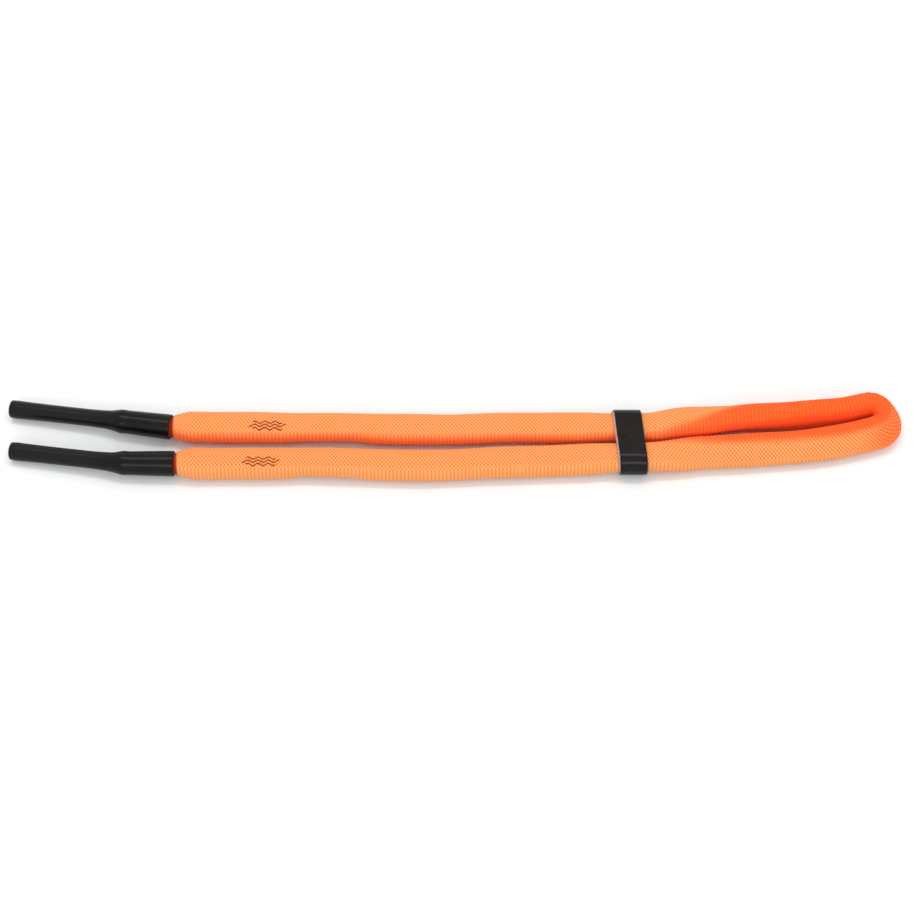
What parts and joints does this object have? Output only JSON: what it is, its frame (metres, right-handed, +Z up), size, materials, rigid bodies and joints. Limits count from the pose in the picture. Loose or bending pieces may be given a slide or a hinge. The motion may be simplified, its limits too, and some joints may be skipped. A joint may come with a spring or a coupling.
{
  "type": "eyeglass retainer strap",
  "caption": "Foam-filled knitted eyewear strap folded in half, with soft rubber temple tubes at its ends and a sliding keeper band round its legs.",
  "frame": {"origin": "middle of the strap's outline on the surface it lies on", "axes": "+X along the folded strap towards its loop, +Y across the legs towards the rear leg, +Z up"},
  "size_m": [0.3006, 0.0318, 0.0102],
  "materials": {
    "knit_sleeve": "orange herringbone knit, matt",
    "foam": "pale closed-cell foam",
    "keeper_rubber": "black, smooth, softly shining",
    "keeper_lining": "pale, matt",
    "thread": "dark red bonded thread",
    "plug_plastic": "natural nylon",
    "tube_rubber": "black, satin"
  },
  "bodies": {
    "strap_loop": {"loop_sleeve": "knit_sleeve", "loop_core": "foam"},
    "keeper": {"keeper_band": "keeper_rubber", "keeper_lining": "keeper_lining"},
    "front_leg": {"front_leg_sleeve": "knit_sleeve", "front_leg_core": "foam", "front_neck_whipping": "thread", "front_barbed_plug": "plug_plastic", "front_tube_socket": "tube_rubber"},
    "front_tube": {"front_temple_tube": "tube_rubber"},
    "rear_leg": {"rear_leg_sleeve": "knit_sleeve", "rear_leg_core": "foam", "rear_neck_whipping": "thread", "rear_barbed_plug": "plug_plastic", "rear_tube_socket": "tube_rubber"},
    "rear_tube": {"rear_temple_tube": "tube_rubber"}
  },
  "joints": [
    {"name": "keeper_slide", "type": "slide", "parent": "strap_loop", "child": "keeper", "axis": [1, 0, 0], "range_m": [-0.1, 0.002]},
    {"name": "front_leg_swing", "type": "hinge", "parent": "strap_loop", "child": "front_leg", "pos_m": [-0.053, -0.0082, 0.0047], "axis": [0, 0, 1], "range_deg": [0, 38]},
    {"name": "rear_leg_swing", "type": "hinge", "parent": "strap_loop", "child": "rear_leg", "pos_m": [-0.053, 0.004, 0.0047], "axis": [0, 0, -1], "range_deg": [0, 38]},
    {"name": "front_tube_flex", "type": "hinge", "parent": "front_leg", "child": "front_tube", "pos_m": [-0.1101, -0.01065, 0.0047], "axis": [0, 0, 1], "range_deg": [-8, 35]},
    {"name": "rear_tube_flex", "type": "hinge", "parent": "rear_leg", "child": "rear_tube", "pos_m": [-0.11219, 0.0066, 0.0047], "axis": [0, 0, -1], "range_deg": [-8, 30]}
  ]
}
